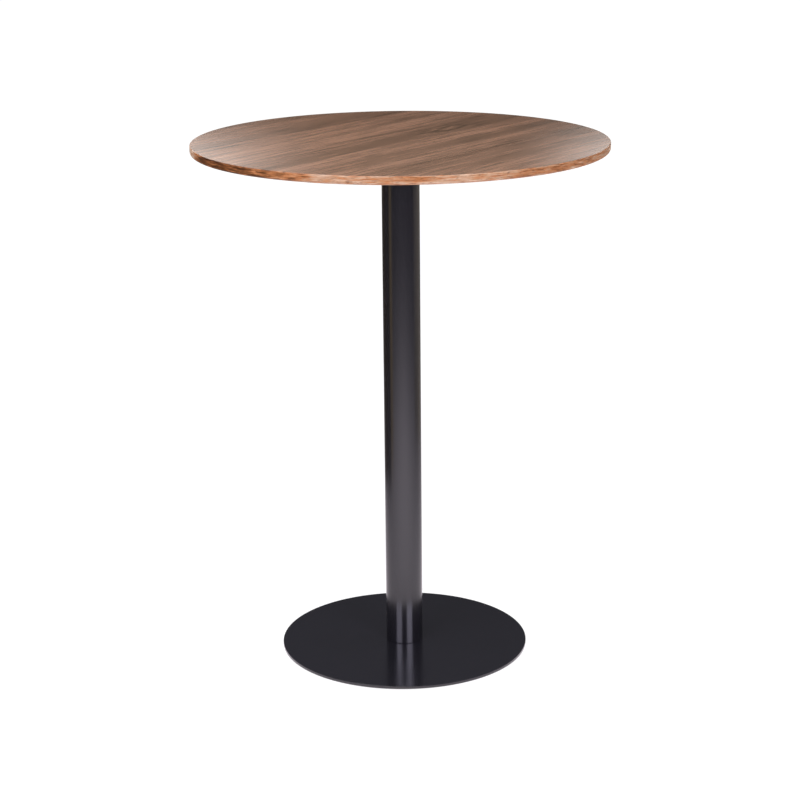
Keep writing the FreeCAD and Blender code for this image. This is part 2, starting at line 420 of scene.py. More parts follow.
@functools.cache
def turned_tree() -> TurnedTree:
    """The one tree that turns outlines."""
    return TurnedTree()


@functools.cache
def ring_tree() -> RingTree:
    """The one tree that sets pieces in rings."""
    return RingTree()


@dataclass(frozen=True)
class Finish:
    """A finish: what the material is, how its surface was made, and the record's slot that it belongs to."""

    name: str
    slot: str
    roughness: float
    metallic: float = 0.0

    @functools.cache
    def material(self) -> Material:
        """Makes the finish's material once, for all of its pieces.

        Returns:
            The material.
        """
        material = bpy.data.materials.new(self.name)
        material.use_nodes = True
        tree = material.node_tree
        shader = tree.nodes["Principled BSDF"].inputs
        shader["Roughness"].default_value = self.roughness
        shader["Metallic"].default_value = self.metallic
        for socket, source in self.paint(tree).items():
            tree.links.new(source, shader[socket])
        return material

    def paint(self, tree: NodeTree) -> Painted:
        """Draws the finish's pattern and returns what drives the shader; each finish has its own."""
        raise NotImplementedError

    def drawn(self, tree: NodeTree, size: Place, turn: float = 0.0) -> NodeSocket:
        """Coordinates in which a pattern repeats about once per unit.

        Args:
            tree: The material's tree.
            size: Length of the pattern along its X, Y and Z, in millimetres.
            turn: Angle of its X from the object's X, about Z, in radians.

        Returns:
            The scaled coordinates.
        """
        place = add_node(tree, COORDINATES, out="Object")
        turned_place = add_node(tree, MAPPING, {"Vector": place, "Rotation": (0, 0, -turn)})
        scale = [1 / (length * MM) for length in size]
        return add_node(tree, MAPPING, {"Vector": turned_place, "Scale": scale})


@dataclass(frozen=True)
class Walnut(Finish):
    """Lacquered walnut, whose open pores are short dark dents along the grain.

    The finest lines of the real wood would not show, so pores and the like are drawn several times as large.
    """

    tones: Stops = ()
    pore_size: Place = (1, 1, 1)
    pore_detail: float = 0.0
    pore_range: Point = (0.0, 1.0)
    pore_share: float = 0.0
    pore_depth: float = 0.0
    pore_relief: float = 0.0

    def pored(self, tree: NodeTree, tone: NodeSocket, turn: float = 0.0) -> Painted:
        """Colours the wood by its tone and opens its pores.

        Args:
            tree: The material's tree.
            tone: How light the wood is, from zero to one.
            turn: Angle of the grain from the object's X, in radians.

        Returns:
            What drives the shader's colour and normal.
        """
        colour = add_node(tree, RAMP, (tone,), stops=self.tones)
        noise = add_node(tree, NOISE, {
            "Vector": self.drawn(tree, self.pore_size, turn), "Scale": 1.0, "Detail": self.pore_detail})
        pores = add_node(tree, RANGE, (noise, *self.pore_range))
        darker = add_node(tree, MATH, (pores, self.pore_share), operation="MULTIPLY")
        pored = add_node(tree, MIX, {"Factor": darker, COLOUR_A: colour, COLOUR_B: linear(self.tones[0][1])},
                         out=COLOUR_MIX, data_type="RGBA")
        sunk = add_node(tree, MATH, (1.0, pores), operation="SUBTRACT")
        relief = add_node(tree, BUMP, {
            "Height": sunk, "Distance": self.pore_depth * MM, "Strength": self.pore_relief})
        return {"Base Color": pored, "Normal": relief}


@dataclass(frozen=True)
class WalnutLeaf(Walnut):
    """Sliced walnut veneer under satin lacquer: long soft bands, darker veins and open pores.

    It gives the eye warm brown with greyer dark streaks, and a sheen that whitens where it is seen flat.
    Sizes are along the grain, across it and into the leaf.
    """

    bands: Stops = ()
    band_share: float = 0.66
    wander_size: Place = (420, 150, 100)
    waver: float = 6.0
    streak_size: Place = (300, 18, 100)
    streak_range: Point = (0.33, 0.67)
    vein_size: Place = (150, 6, 100)
    vein_range: Point = (0.55, 0.68)
    vein_share: float = 0.40
    fleck_size: Place = (80, 5, 100)
    fleck_share: float = 0.35
    pore_size: Place = (60, 2, 100)
    pore_range: Point = (0.60, 0.67)
    pore_share: float = 0.36
    pore_depth: float = 0.03
    pore_relief: float = 0.15
    gloss_swing: float = 0.03
    # Painted light: the leaf is painted paler toward the front left, where more light falls on the top
    painted_light_side: Place = (-0.8, -0.6, 0.0)
    painted_light_share: float = 0.08
    grain_turn: float = math.radians(52.5)
    figure_place: Point = (175.0, 10.0)
    figure_size: Place = (150.0, 34.0, 1000.0)
    figure_range: Point = (1.0, 0.25)
    figure_share: float = 0.0
    tick_size: Place = (80, 14, 100)
    tick_turn: float = math.radians(9)
    tick_range: Point = (0.40, 0.62)

    def paint(self, tree: NodeTree) -> Painted:
        """Adds the bands, streaks, veins, figure and pores along the grain, and painted light at the front
        left.

        Args:
            tree: The material's tree.

        Returns:
            What drives the shader's colour, roughness and normal.
        """
        turn = self.grain_turn
        place = add_node(tree, COORDINATES, out="Object")
        grain = add_node(tree, MAPPING, {"Vector": place, "Rotation": (0, 0, -turn)})
        across = add_node(tree, SPLIT, (grain,), out="Y")
        wander = add_node(tree, NOISE, {
            "Vector": self.drawn(tree, self.wander_size, turn), "Scale": 1.0, "Detail": 2.0})
        shift = add_node(tree, MATH, (wander, 0.5), operation="SUBTRACT")
        wavering = add_node(tree, MATH, (shift, 2 * self.waver * MM, across), operation="MULTIPLY_ADD")
        share = add_node(tree, RANGE, (wavering, -TOP_RADIUS, TOP_RADIUS))
        band = add_node(tree, RAMP, (share,), stops=self.bands)
        band.node.color_ramp.interpolation = "EASE"

        noise = add_node(tree, NOISE, {
            "Vector": self.drawn(tree, self.streak_size, turn), "Scale": 1.0, "Detail": 3.0, "Roughness": 0.6,
            "Distortion": 0.1})
        streaks = add_node(tree, RANGE, (noise, *self.streak_range))
        mixed = add_node(tree, MIX, {"Factor": self.band_share, "A": streaks, "B": band}, data_type="FLOAT")
        noise = add_node(tree, NOISE, {
            "Vector": self.drawn(tree, self.vein_size, turn), "Scale": 1.0, "Detail": 2.0, "Distortion": 0.2})
        veins = add_node(tree, RANGE, (noise, *self.vein_range))
        veined = add_node(tree, MATH, (veins, -self.vein_share, mixed), operation="MULTIPLY_ADD")
        noise = add_node(tree, NOISE, {
            "Vector": self.drawn(tree, self.fleck_size, turn), "Scale": 1.0, "Detail": 1.0})
        fleck = add_node(tree, MATH, (noise, 0.5), operation="SUBTRACT")
        flecked = add_node(tree, MATH, (fleck, self.fleck_share, veined), operation="MULTIPLY_ADD")
        # Painted light: the tone rises toward the front left, standing in for the stronger light and sheen
        # there
        outward = add_node(tree, VECTOR, (place, self.painted_light_side), out="Value", operation="DOT_PRODUCT")
        tone_with_painted_light = add_node(tree, MATH, (outward, self.painted_light_share / TOP_RADIUS, flecked),
                         operation="MULTIPLY_ADD")

        # The figured patch is an oval along the grain, broken into short ticks
        length, width, depth = self.figure_size
        along, aside = self.figure_place
        patch = add_node(tree, MAPPING, {
            "Vector": self.drawn(tree, self.figure_size, turn),
            "Location": (-along / length, -aside / width, -TABLE_TOP / (depth * MM))})
        away = add_node(tree, VECTOR, (patch,), out="Value", operation="LENGTH")
        inside = add_node(tree, RANGE, (away, *self.figure_range))
        noise = add_node(tree, NOISE, {
            "Vector": self.drawn(tree, self.tick_size, turn + self.tick_turn), "Scale": 1.0, "Detail": 2.0})
        ticks = add_node(tree, RANGE, (noise, *self.tick_range, -self.figure_share / 2, self.figure_share))
        figure = add_node(tree, MATH, (inside, ticks), operation="MULTIPLY")
        tone = add_node(tree, MATH, (tone_with_painted_light, figure), operation="SUBTRACT")
        dull = add_node(tree, RANGE, (band, 0.0, 1.0, self.roughness + self.gloss_swing,
                                      self.roughness - self.gloss_swing))
        return {"Roughness": dull, **self.pored(tree, tone, turn)}


@dataclass(frozen=True)
class WalnutBand(Walnut):
    """Thin walnut strip bent round the rim, sanded and lacquered, with its grain along the rim.

    It gives the eye a warmer, redder brown than the face, in long streaks with short dark pores.
    """

    stretches_and_light: Stops = ()
    streak_size: Place = (30, 30, 2.6)
    streak_share: float = 1.7
    pore_size: Place = (8, 8, 1.2)
    pore_detail: float = 1.0
    pore_range: Point = (0.56, 0.70)
    pore_share: float = 0.7
    pore_depth: float = 0.08
    pore_relief: float = 0.5

    def paint(self, tree: NodeTree) -> Painted:
        """Adds the rim's runs of wood tone and painted light, and the streaks and pores that run along it.

        Args:
            tree: The material's tree.

        Returns:
            What drives the shader's colour and normal.
        """
        place = add_node(tree, COORDINATES, out="Object")
        round_rim = add_node(tree, "ShaderNodeTexGradient", (place,), out="Fac", gradient_type="RADIAL")
        # Painted light: the ramp paints a sheen at the rim's left and right ends, and shade near its front
        # left
        stretch = add_node(tree, RAMP, (round_rim,), stops=self.stretches_and_light)
        stretch.node.color_ramp.interpolation = "EASE"
        streaks = add_node(tree, NOISE, {
            "Vector": self.drawn(tree, self.streak_size), "Scale": 1.0, "Detail": 3.0, "Roughness": 0.6})
        shift = add_node(tree, MATH, (streaks, 0.5), operation="SUBTRACT")
        tone = add_node(tree, MATH, (shift, self.streak_share, stretch), operation="MULTIPLY_ADD")
        return self.pored(tree, tone)


@dataclass(frozen=True)
class Clouded(Finish):
    """A finish whose colour, and gloss if it swings, drift in soft clouds over a fine even relief."""

    colour: str = BLACK
    cloud_colour: str = BLACK
    cloud_size: float = 1.0
    cloud_range: Point | None = None
    gloss_swing: Point | None = None
    grain_size: float = 1.0
    grain_detail: float = 2.0
    grain_depth: float = 0.0
    grain_relief: float = 0.5

    def paint(self, tree: NodeTree) -> Painted:
        """Adds the clouds and the relief.

        Args:
            tree: The material's tree.

        Returns:
            What drives the shader's colour and normal, and its roughness where the gloss swings.
        """
        cloud = add_node(tree, NOISE, {
            "Vector": self.drawn(tree, (self.cloud_size,) * 3), "Scale": 1.0, "Detail": 3.0})
        share = add_node(tree, RANGE, (cloud, *self.cloud_range)) if self.cloud_range else cloud
        colour = add_node(tree, MIX, {
            "Factor": share, COLOUR_A: linear(self.colour), COLOUR_B: linear(self.cloud_colour)},
            out=COLOUR_MIX, data_type="RGBA")
        grain = add_node(tree, NOISE, {
            "Vector": self.drawn(tree, (self.grain_size,) * 3), "Scale": 1.0, "Detail": self.grain_detail})
        relief = add_node(tree, BUMP, {
            "Height": grain, "Distance": self.grain_depth * MM, "Strength": self.grain_relief})
        painted = {"Base Color": colour, "Normal": relief}
        if self.gloss_swing:
            least, most = [self.roughness + swing for swing in self.gloss_swing]
            painted["Roughness"] = add_node(tree, RANGE, (cloud, 0.0, 1.0, least, most))
        return painted


@dataclass(frozen=True)
class PowderCoat(Clouded):
    """Black polyester powder baked on steel: a satin skin with the faint orange peel of the melt.

    It gives the eye a soft, slightly blue black, with blurred reflections and bright lines on its edges.
    """

    colour: str = "#16151A"
    cloud_colour: str = "#1B1A20"
    cloud_size: float = 90
    gloss_swing: Point | None = (-0.03, 0.03)
    # The peel's cells are 2.4 mm across
    grain_size: float = 2.4
    grain_detail: float = 1.0
    grain_depth: float = 0.02


@dataclass(frozen=True)
class ZincPlate(Clouded):
    """Steel with a bright zinc plating and a clear blue passivation.

    It gives the eye a pale cool metal with faint yellowish clouds and a soft shine.
    """

    colour: str = "#C4C8CC"
    cloud_colour: str = "#B8B29C"
    cloud_size: float = 7
    cloud_range: Point | None = (0.4, 0.75)
    gloss_swing: Point | None = (-0.08, 0.12)
    # The plating's grain is drawn 0.8 mm wide, many times its real size
    grain_size: float = 0.8
    grain_depth: float = 0.01
    grain_relief: float = 0.4


@dataclass(frozen=True)
class MouldedRubber(Clouded):
    """Black rubber moulded in a spark-eroded tool.

    It gives the eye a dull charcoal black with a fine even grain and a grey bloom.
    """

    colour: str = "#141415"
    cloud_colour: str = "#2A2A2B"
    cloud_size: float = 14
    # The eroded grain is drawn 0.7 mm wide, about twice its real size
    grain_size: float = 0.7
    grain_depth: float = 0.05
    grain_relief: float = 0.6


@dataclass(frozen=True)
class TurnedSteel(Finish):
    """Mild steel faced on a lathe and left bare.

    It gives the eye a grey metal with fine rings about its middle and a few darker oil stains.
    """

    colour: str = "#9A9894"
    stain_colour: str = "#6B665E"
    stain_size: float = 24
    stain_range: Point = (0.5, 0.8)
    # Rings are 1.2 mm apart, coarser than a real cut, so that they show
    ring_pitch: float = 1.2
    ring_depth: float = 0.03
    ring_relief: float = 0.5

    def paint(self, tree: NodeTree) -> Painted:
        """Adds the tool's rings and the stains.

        Args:
            tree: The material's tree.

        Returns:
            What drives the shader's colour and normal.
        """
        rings = add_node(tree, "ShaderNodeTexWave", {
            "Vector": self.drawn(tree, (self.ring_pitch,) * 3), "Scale": 1.0, "Distortion": 0.4},
            out="Fac", wave_type="RINGS", rings_direction="Z")
        stain = add_node(tree, NOISE, {
            "Vector": self.drawn(tree, (self.stain_size,) * 3), "Scale": 1.0, "Detail": 4.0})
        share = add_node(tree, RANGE, (stain, *self.stain_range))
        colour = add_node(tree, MIX, {
            "Factor": share, COLOUR_A: linear(self.colour), COLOUR_B: linear(self.stain_colour)},
            out=COLOUR_MIX, data_type="RGBA")
        relief = add_node(tree, BUMP, {
            "Height": rings, "Distance": self.ring_depth * MM, "Strength": self.ring_relief})
        return {"Base Color": colour, "Normal": relief}


@dataclass(frozen=True)
class Fibreboard(Finish):
    """Medium-density fibreboard, sawn: pressed wood fibre with no grain.

    It gives the eye a dry, even light brown, flecked with paler and darker fibres.
    """

    tones: Stops = ()
    fibre_size: Place = (3.5, 3.5, 1.2)
    nap_depth: float = 0.15
    nap_relief: float = 0.6

    def paint(self, tree: NodeTree) -> Painted:
        """Adds the flecks and the dry nap of the fibres.

        Args:
            tree: The material's tree.

        Returns:
            What drives the shader's colour and normal.
        """
        flecks = add_node(tree, NOISE, {
            "Vector": self.drawn(tree, self.fibre_size), "Scale": 1.0, "Detail": 5.0, "Roughness": 0.7})
        colour = add_node(tree, RAMP, (flecks,), stops=self.tones)
        relief = add_node(tree, BUMP, {
            "Height": flecks, "Distance": self.nap_depth * MM, "Strength": self.nap_relief})
        return {"Base Color": colour, "Normal": relief}


WALNUT_TONES = ((0.0, "#594330"), (0.2, "#735641"), (0.5, "#8A6852"), (0.8, "#A67E65"), (1.0, "#BC9278"))
# Light and dark bands of the face, from one side of the grain to the other
FACE_BANDS = (
    (0.00, "#D0D0D0"), (0.11, "#D0D0D0"), (0.15, "#989898"), (0.21, "#B8B8B8"), (0.255, "#585858"),
    (0.30, "#D0D0D0"), (0.375, "#989898"), (0.42, "#E6E6E6"), (0.465, "#C4C4C4"), (0.50, "#606060"),
    (0.54, "#A0A0A0"), (0.635, "#D8D8D8"), (0.75, "#C4C4C4"), (0.82, "#848484"), (0.87, "#B4B4B4"),
)
BACKING_BANDS = ((0.0, "#A0A0A0"), (0.35, "#C0C0C0"), (0.6, "#8C8C8C"), (1.0, "#B4B4B4"))
BAND_TONES = ((0.0, "#3E200D"), (0.2, "#6A3E21"), (0.42, "#A06640"), (0.5, "#9E6D4C"), (0.6, "#A07C64"),
              (0.75, "#AD8C78"), (1.0, "#C8AC96"))
# Light and dark runs of the rim, once round it from the left end by the front, partly the strip's own wood
# and partly painted light: the pale left and right ends are a painted grazing sheen, and the dark run near
# the front left is partly painted shade
RIM_STRETCHES_AND_PAINTED_LIGHT = (
    (0.00, "#E8E8E8"), (0.045, "#D8D8D8"), (0.07, "#4C4C4C"), (0.095, "#4C4C4C"), (0.13, "#808080"),
    (0.165, "#989898"), (0.20, "#CCCCCC"), (0.25, "#C0C0C0"), (0.305, "#D2D2D2"), (0.345, "#ACACAC"),
    (0.43, "#B8B8B8"), (0.50, "#E8E8E8"), (0.75, "#BCBCBC"), (1.00, "#E8E8E8"),
)
BOARD_TONES = ((0.25, "#7A5C3C"), (0.5, "#A5835A"), (0.75, "#C7A97E"))

WALNUT_FACE = WalnutLeaf("walnut_veneer_satin_lacquered", "walnut_face", 0.25, tones=WALNUT_TONES,
                         bands=FACE_BANDS, figure_share=0.5)
WALNUT_BACKING = WalnutLeaf("walnut_veneer_sealed", "walnut_backing", 0.62, tones=WALNUT_TONES,
                            bands=BACKING_BANDS, band_share=0.25)
WALNUT_EDGE = WalnutBand("walnut_strip_sanded_lacquered", "walnut_edge", 0.42, tones=BAND_TONES,
                         stretches_and_light=RIM_STRETCHES_AND_PAINTED_LIGHT)
BLACK_COAT = PowderCoat("steel_black_powder_coated", "black_coated_steel", 0.19)
ZINC = ZincPlate("steel_zinc_plated", "zinc_plated_steel", 0.32, metallic=1.0)
BARE_STEEL = TurnedSteel("steel_turned_bare", "bare_steel", 0.42, metallic=1.0)
BOARD = Fibreboard("fibreboard_sawn", "fibreboard", 0.9, tones=BOARD_TONES)
RUBBER = MouldedRubber("rubber_moulded", "black_rubber", 0.78)


def settle(piece: Object) -> None:
    """Turns what a piece's modifiers make into its own plain, closed, outward-facing mesh.

    Args:
        piece: The piece, which keeps its name and loses its modifiers.
    """
    shaped = piece.evaluated_get(bpy.context.evaluated_depsgraph_get())
    mesh = bpy.data.meshes.new_from_object(shaped)
    piece.modifiers.clear()
    piece.data = mesh
    mesh.name = piece.name
    shell = bmesh.new()
    shell.from_mesh(mesh)
    bmesh.ops.remove_doubles(shell, verts=shell.verts, dist=SAME_PLACE)
    bmesh.ops.recalc_face_normals(shell, faces=shell.faces)
    shell.to_mesh(mesh)
    shell.free()
    mesh.shade_smooth()
    mesh.set_sharp_from_angle(angle=SHARP_ANGLE)


def turned(name: str, outline: Outline, finish: Finish, segments: int, ripples: int = 0,
           ripple_depth: float = 0.0) -> Object:
    """A piece turned from an outline, with its tree still live.

    Args:
        name: Name of the piece.
        outline: Half of its section.
        finish: Its finish.
        segments: Number of steps round the axis.
        ripples: Number of ripples round it.
        ripple_depth: How far they stand out.

    Returns:
        The piece, in the scene.
    """
    piece = placed(name, outline.mesh(f"{name}_outline"))
    turned_tree().add_to(piece, {"Segments": segments, "Ripples": ripples, "Ripple Depth": ripple_depth,
                                 "Material": finish.material()})
    return piece


def ringed(piece: Object, finish: Finish, count: int, radius: float, seed: int, rings: int = 1,
           step: float = 0.0, first: float = 0.0, chance_turn: float = 0.0) -> Object:
    """Sets copies of a piece round the Z axis.

    Args:
        piece: The piece, made at the origin.
        finish: Its finish.
        count: Copies on each ring.
        radius: Radius of the outer ring.
        seed: Seed of the chance turns.
        rings: Number of rings.
        step: Distance from ring to ring.
        first: Angle of the first copy.
        chance_turn: The most by which each copy is turned about its own axis.

    Returns:
        The piece, with its trees still live.
    """
    ring_tree().add_to(piece, {
        "Count": count, "Rings": rings, "Outer Radius": radius, "Ring Step": step, "First Angle": first,
        "Chance Turn": chance_turn, "Seed": seed, "Material": finish.material()})
    return piece


@dataclass
class SubAssembly:
    """Pieces of the table that are built and dressed together."""

    def show(self, piece: Object, finish: Finish, *nodes: str) -> None:
        """Puts a finished piece in the place of the nodes that it stands for.

        Args:
            piece: The piece.
            finish: Its finish.
            nodes: Names of those nodes.
        """
        settle(piece)
        piece.data.materials.clear()
        piece.data.materials.append(finish.material())
        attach(piece, BODY)
        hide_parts(*nodes)
        log.info("%s: %d faces, %s, for %s", piece.name, len(piece.data.polygons), finish.name,
                 ", ".join(nodes))

    def keep(self, node: str, finish: Finish) -> None:
        """Keeps a node whose own shape is right, and gives it its finish.

        Args:
            node: Name of the node.
            finish: Its finish.
        """
        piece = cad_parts[node]
        piece.data.materials.clear()
        piece.data.materials.append(finish.material())
        log.info("%s: kept, %s", node, finish.name)


@dataclass
class Tabletop(SubAssembly):
    """The round board with its walnut face, rim band and backing."""

    radius: float
    face_radius: float
    backing_radius: float
    core_radius: float
    bottom: float
    core_bottom: float
    core_top: float
    top: float
    segments: int = 320
    hold: float = 1.5 * MM
    upper_steps: int = 8
    lower_steps: int = 12

    @classmethod
    def from_frame(cls) -> "Tabletop":
        """Takes the top's sizes from the frame.

        Returns:
            The top.
        """
        band_low, band_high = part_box("edge_lipping")
        face_low, face_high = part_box("face_veneer")
        _, backing_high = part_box("backing_veneer")
        _, core_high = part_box("tabletop_core")
        return cls(radius=band_high.x, face_radius=face_high.x, backing_radius=backing_high.x,
                   core_radius=core_high.x, bottom=band_low.z, core_bottom=backing_high.z,
                   core_top=face_low.z, top=face_high.z)

    def face(self) -> Object:
        """Turns the walnut leaf on the upper face.

        Returns:
            The leaf.
        """
        outline = Outline().to((0.0, self.core_top), (self.face_radius, self.core_top),
                               (self.face_radius, self.top), (self.face_radius - self.hold, self.top),
                               (0.0, self.top))
        return turned("face_leaf", outline, WALNUT_FACE, self.segments)

    def rim(self) -> Object:
        """Turns the band round the rim: eased above, well rounded below, and rebated for both leaves.

        Returns:
            The band.
        """
        upper = self.radius - self.face_radius
        lower = self.radius - self.backing_radius
        outline = Outline()
        outline.to((self.core_radius, self.core_bottom), (self.backing_radius, self.core_bottom))
        outline.to(*arc((self.backing_radius, self.bottom + lower), lower, -90, 0, self.lower_steps))
        outline.to(*arc((self.face_radius, self.top - upper), upper, 0, 90, self.upper_steps))
        outline.to((self.face_radius, self.core_top), (self.core_radius, self.core_top))
        return turned("rim_band", outline.closed(), WALNUT_EDGE, self.segments)

    def build(self) -> None:
        """Builds and dresses the top."""
        self.show(self.face(), WALNUT_FACE, "face_veneer")
        self.show(self.rim(), WALNUT_EDGE, "edge_lipping")
        self.keep("backing_veneer", WALNUT_BACKING)
        self.keep("tabletop_core", BOARD)


@dataclass
class Column(SubAssembly):
    """The steel tube, the weld at its upper end and the flange inside its lower end."""

    radius: float
    bottom: float
    top: float
    weld_radius: float
    wall: float = 2.0 * MM
    ease: float = 0.5 * MM
    ease_steps: int = 4
    hold: float = 2.0 * MM
    segments: int = 144
    weld_ripples: int = 84
    weld_ripple_depth: float = 0.45 * MM
    weld_ripple_segments: int = 6
    weld_lag: float = 0.7
    weld_steps: int = 8

    @classmethod
    def from_frame(cls) -> "Column":
        """Takes the column's sizes from the frame.

        Returns:
            The column.
        """
        low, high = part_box("column_tube")
        _, weld_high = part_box("column_weld")
        return cls(radius=high.x, bottom=low.z, top=high.z, weld_radius=weld_high.x)

    def tube(self) -> Object:
        """Turns the tube, with its cut ends eased.

        Returns:
            The tube.
        """
        outer, inner, ease, hold = self.radius, self.radius - self.wall, self.ease, self.hold
        outline = Outline().to((inner, self.bottom))
        outline.to(*arc((outer - ease, self.bottom + ease), ease, -90, 0, self.ease_steps))
        outline.to((outer, self.bottom + ease + hold), (outer, self.top - ease - hold))
        outline.to(*arc((outer - ease, self.top - ease), ease, 0, 90, self.ease_steps))
        outline.to((inner, self.top))
        return turned("column_shell", outline.closed(), BLACK_COAT, self.segments)

    def weld(self) -> Object:
        """Turns the fillet weld, with the overlapping ripples of a hand-laid bead.

        Returns:
            The weld.
        """
        leg = self.weld_radius - self.radius
        depth = self.weld_ripple_depth
        outline = Outline().to((self.radius, self.top))
        for k in range(self.weld_steps + 1):
            share = k / self.weld_steps
            swell = math.sin(math.pi * share)
            place = (self.radius + leg * (1 - share) - depth * swell, self.top - leg * share + depth * swell)
            outline.to(place, swell=swell, lag=self.weld_lag * (2 * share - 1) ** 2)
        return turned("weld_bead", outline.closed(), BLACK_COAT,
                      self.weld_ripples * self.weld_ripple_segments, self.weld_ripples, depth)

    def build(self) -> None:
        """Builds and dresses the column."""
        self.show(self.tube(), BLACK_COAT, "column_tube")
        self.show(self.weld(), BLACK_COAT, "column_weld")
        self.keep("foot_flange", BARE_STEEL)


@dataclass
class Spider(SubAssembly):
    """The flat cross under the top, with the screws, washers and sleeve nuts that hold the top on it."""

    arm_length: float
    bottom: float
    top: float
    hub_radius: float
    washer_bottom: float
    head_bottom: float
    screw_tip: float
    nut_top: float
    screw_circle: float
    arms: int = 4
    arm_width: float = 45 * MM
    tip_round: float = 12 * MM
    corner_round: float = 14 * MM
    hub_margin: float = 30 * MM
    ease: float = 0.6 * MM
    ease_steps: int = 2
    vent_radius: float = 10 * MM
    hole_radius: float = 3.5 * MM
    circle_step: float = 90 * MM
    screws_per_arm: int = 2
    screw_radius: float = 3.0 * MM
    thread_pitch: float = 1.0 * MM
    thread_depth: float = 0.3 * MM
    head_radius: float = 5.25 * MM
    crown_radius: float = 3.2 * MM
    dome_share: float = 0.92
    dome_steps: int = 6
    socket_radius: float = 2.0 * MM
    socket_depth: float = 2.0 * MM
    washer_radius: float = 6 * MM
    washer_hole: float = 3.2 * MM
    washer_ease_steps: int = 3
    nut_radius: float = 5 * MM
    nut_hole: float = 3.1 * MM
    nut_ridge: float = 2.0 * MM
    nut_bite: float = 0.4 * MM
    segments: int = 48
    seed: int = 7

    @classmethod
    def from_frame(cls) -> "Spider":
        """Takes the spider's sizes from the frame.

        Returns:
            The spider.
        """
        plate_low, plate_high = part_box("mounting_spider")
        washer_low, washer_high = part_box("spider_washers")
        screw_low, screw_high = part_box("spider_screws")
        _, nut_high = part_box("threaded_inserts")
        _, tube_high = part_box("column_tube")
        return cls(arm_length=plate_high.x, bottom=plate_low.z, top=plate_high.z,
                   hub_radius=tube_high.x + cls.hub_margin, washer_bottom=washer_low.z,
                   head_bottom=screw_low.z, screw_tip=screw_high.z, nut_top=nut_high.z,
                   screw_circle=washer_high.x - cls.washer_radius)

    def arm_outline(self) -> list[Point]:
        """Plan of the arm along +X.

        Returns:
            Its points, from one hub corner round the tip to the next corner.
        """
        half, length = self.arm_width / 2, self.arm_length
        tip, corner, hub = self.tip_round, self.corner_round, self.hub_radius
        rise = half + corner
        reach = math.sqrt((hub + corner) ** 2 - rise ** 2)
        lean = math.degrees(math.atan2(rise, reach))
        points = arc((reach, -rise), corner, 180 - lean, 90)
        points += arc((length - tip, tip - half), tip, -90, 0)
        points += arc((length - tip, half - tip), tip, 0, 90)
        points += arc((reach, rise), corner, 270, 180 + lean)
        points += arc((0.0, 0.0), hub, lean, FULL_TURN_DEGREES / self.arms - lean)[1:-1]
        return points

    def plate(self) -> Object:
        """Cuts the cross from plate, with eased edges, its vent and its screw holes.

        Returns:
            The cross.
        """
        angles = [FULL_TURN * k / self.arms for k in range(self.arms)]
        arm = self.arm_outline()
        loops = [[tuple(Matrix.Rotation(angle, 2) @ Vector(point)) for angle in angles for point in arm]]
        loops.append(arc((0.0, 0.0), self.vent_radius, FULL_TURN_DEGREES, 0, self.segments)[:-1])
        for ring in range(self.screws_per_arm):
            out = self.screw_circle - self.circle_step * ring
            for angle in angles:
                centre = (out * math.cos(angle), out * math.sin(angle))
                loops.append(arc(centre, self.hole_radius, FULL_TURN_DEGREES, 0, self.segments)[:-1])
        plan = bpy.data.curves.new("cross_plan", "CURVE")
        plan.dimensions = "2D"
        plan.fill_mode = "BOTH"
        plan.extrude = (self.top - self.bottom) / 2 - self.ease
        plan.bevel_depth = self.ease
        plan.bevel_resolution = self.ease_steps
        plan.offset = -self.ease
        for loop in loops:
            spline = plan.splines.new("POLY")
            spline.points.add(len(loop) - 1)
            spline.use_cyclic_u = True
            for point, (x, y) in zip(spline.points, loop):
                point.co = (x, y, 0.0, 1.0)
        flat = placed("cross_plan", plan)
        mesh = bpy.data.meshes.new_from_object(flat.evaluated_get(bpy.context.evaluated_depsgraph_get()))
        bpy.data.objects.remove(flat)
        mesh.transform(Matrix.Translation((0.0, 0.0, (self.bottom + self.top) / 2)))
        return placed("cross_plate", mesh)

    def screw_outline(self) -> Outline:
        """Half a button-head screw.

        Returns:
            Its socket, domed head, shank and thread.
        """
        seat, low = self.washer_bottom, self.head_bottom
        outline = Outline().to((0.0, low + self.socket_depth))
        outline.to((self.socket_radius, low + self.socket_depth), (self.socket_radius, low), hexagon=1.0)
        outline.to((self.crown_radius, low))
        fall = (seat - low) * self.dome_share
        width = self.head_radius - self.crown_radius
        for k in range(1, self.dome_steps + 1):
            turn = math.radians(90 * k / self.dome_steps)
            outline.to((self.crown_radius + width * math.sin(turn), low + fall * (1 - math.cos(turn))))
        outline.to((self.head_radius, seat), (self.screw_radius, seat), (self.screw_radius, self.top))
        root, crest = self.screw_radius - self.thread_depth, self.top
        while crest + self.thread_pitch < self.screw_tip:
            outline.to((root, crest + self.thread_pitch / 2), (self.screw_radius, crest + self.thread_pitch))
            crest += self.thread_pitch
        return outline.to((root, self.screw_tip), (0.0, self.screw_tip))

    def washer_outline(self) -> Outline:
        """Section of a flat washer.

        Returns:
            The section, with its pressed edge eased.
        """
        ease = self.ease / 2
        high, low, out = self.bottom, self.washer_bottom, self.washer_radius
        outline = Outline().to((self.washer_hole, low))
        outline.to(*arc((out - ease, low + ease), ease, -90, 0, self.washer_ease_steps))
        return outline.to((out, high), (self.washer_hole, high)).closed()

    def nut_outline(self) -> Outline:
        """Section of a sleeve nut.

        Returns:
            The section, with the ridges that bite into the board.
        """
        outer, inner, ridge = self.nut_radius, self.nut_radius - self.nut_bite, self.nut_ridge
        outline = Outline().to((self.nut_hole, self.top), (outer, self.top))
        low = self.top + ridge
        while low + ridge < self.nut_top:
            outline.to((outer, low), (inner, low + ridge / 4))
            outline.to((inner, low + ridge / 2), (outer, low + ridge * 3 / 4))
            low += ridge
        return outline.to((outer, self.nut_top), (self.nut_hole, self.nut_top)).closed()

